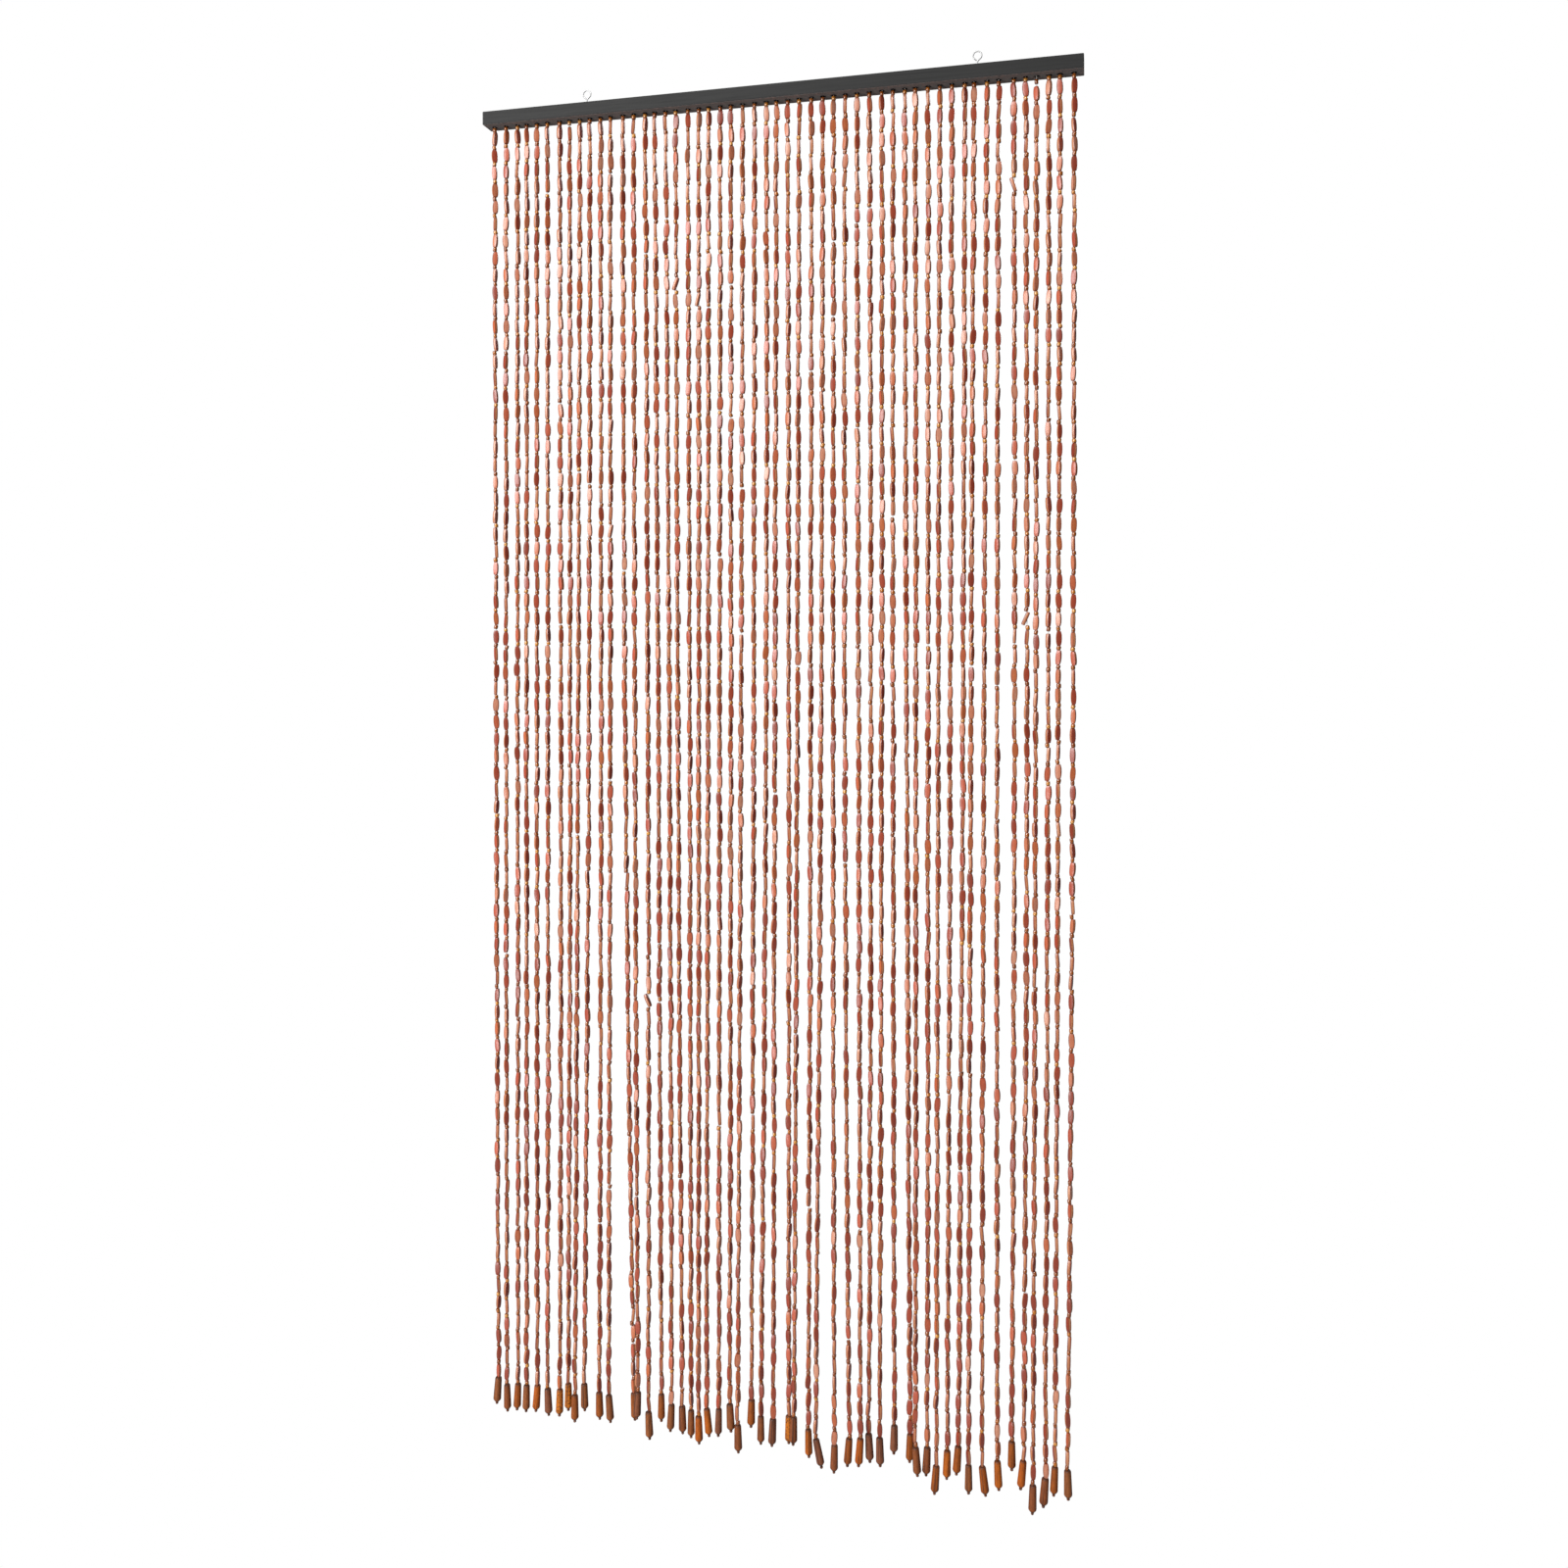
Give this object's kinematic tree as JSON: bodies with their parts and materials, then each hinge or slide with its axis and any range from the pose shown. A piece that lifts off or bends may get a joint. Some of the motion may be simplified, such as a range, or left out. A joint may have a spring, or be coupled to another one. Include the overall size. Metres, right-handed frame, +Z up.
{
  "type": "bead curtain with hanging rail",
  "caption": "Door curtain of wooden bead strings that end in long drop beads, hung from a painted wooden rail with screw eyes on its top.",
  "frame": {"origin": "where the two hooks bear inside the tops of the screw eyes, at the middle of the rail's length and depth", "axes": "+X along the rail to the viewer's right, +Y away from the viewer, +Z up"},
  "size_m": [0.9, 0.03, 2.052],
  "materials": {
    "rail_paint": "dark grey painted wood, matt, with fine grain along the rail",
    "eye_steel": "bright zinc-plated wire",
    "bead_wood": "long flattened beads of stained wood, satin lacquer",
    "round_bead": "small round beads of amber wood, gloss lacquer",
    "end_bead": "long end beads of orange-brown wood, gloss lacquer",
    "thread": "pale nylon thread"
  },
  "bodies": {
    "root": {"rail": "rail_paint", "eye_left": "eye_steel", "eye_right": "eye_steel", "strings_left": "bead_wood", "strings_middle": "bead_wood", "strings_right": "bead_wood"}
  },
  "joints": []
}
